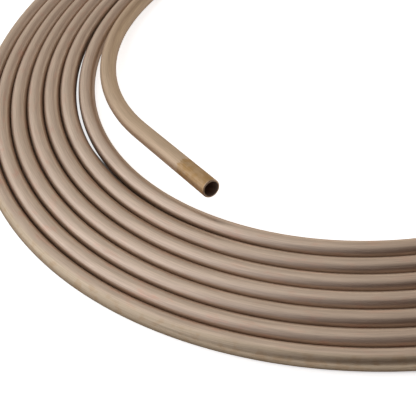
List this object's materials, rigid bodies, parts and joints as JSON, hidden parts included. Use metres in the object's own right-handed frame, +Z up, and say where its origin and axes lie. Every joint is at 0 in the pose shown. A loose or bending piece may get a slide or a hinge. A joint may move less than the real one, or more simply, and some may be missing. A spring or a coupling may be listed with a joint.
{
  "type": "copper tube coil",
  "caption": "Flat spiral coil of plain thin-walled copper-nickel tube, laid turn against turn in one layer, with a free straight inner end, to be cut and bent into fluid lines.",
  "frame": {"origin": "middle of the coil's outline on the floor, with the coil lying flat", "axes": "+Z up out of the coil's flat side; the joints of the half turns lie along X; the inner end points along +X with a slight rise"},
  "size_m": [0.3818, 0.3858, 0.0219],
  "materials": {
    "tube": "drawn copper-nickel, satin, slightly tarnished"
  },
  "bodies": {
    "root": {"tube_coil": "tube"}
  },
  "joints": []
}
